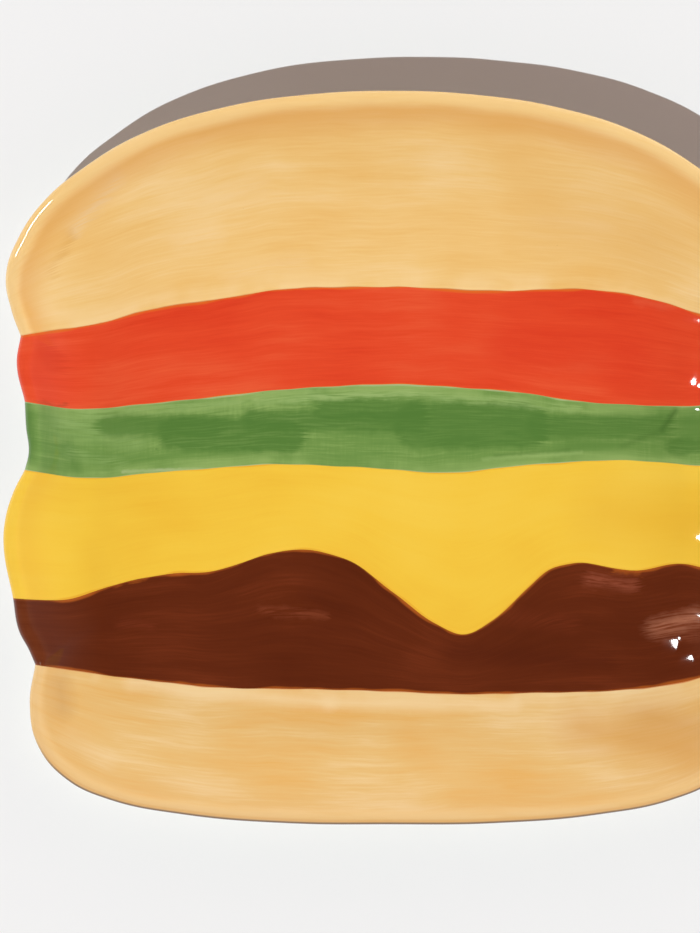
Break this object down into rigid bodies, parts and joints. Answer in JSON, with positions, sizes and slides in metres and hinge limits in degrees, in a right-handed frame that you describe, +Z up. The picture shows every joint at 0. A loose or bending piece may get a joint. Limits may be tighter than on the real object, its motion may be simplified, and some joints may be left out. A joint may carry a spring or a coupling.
{
  "type": "cheeseburger-shaped ceramic plate",
  "caption": "Shallow glazed plate in the outline of a cheeseburger: a rounded lip, a curved slope and a flat well over a foot ring, painted in the layers of the burger.",
  "frame": {"origin": "Under the middle of the plate, level with the foot ring that it rests on.", "axes": "+X to the right across the painted layers, +Y towards the top bun, +Z up out of the well."},
  "size_m": [0.2502, 0.2368, 0.02],
  "materials": {
    "bun_glaze": "glossy",
    "tomato_glaze": "glossy",
    "lettuce_glaze": "glossy",
    "cheese_glaze": "glossy",
    "patty_glaze": "glossy",
    "plain_glaze": "glossy",
    "bare_clay": "matt"
  },
  "bodies": {
    "root": {"plate": "bun_glaze"}
  },
  "joints": []
}
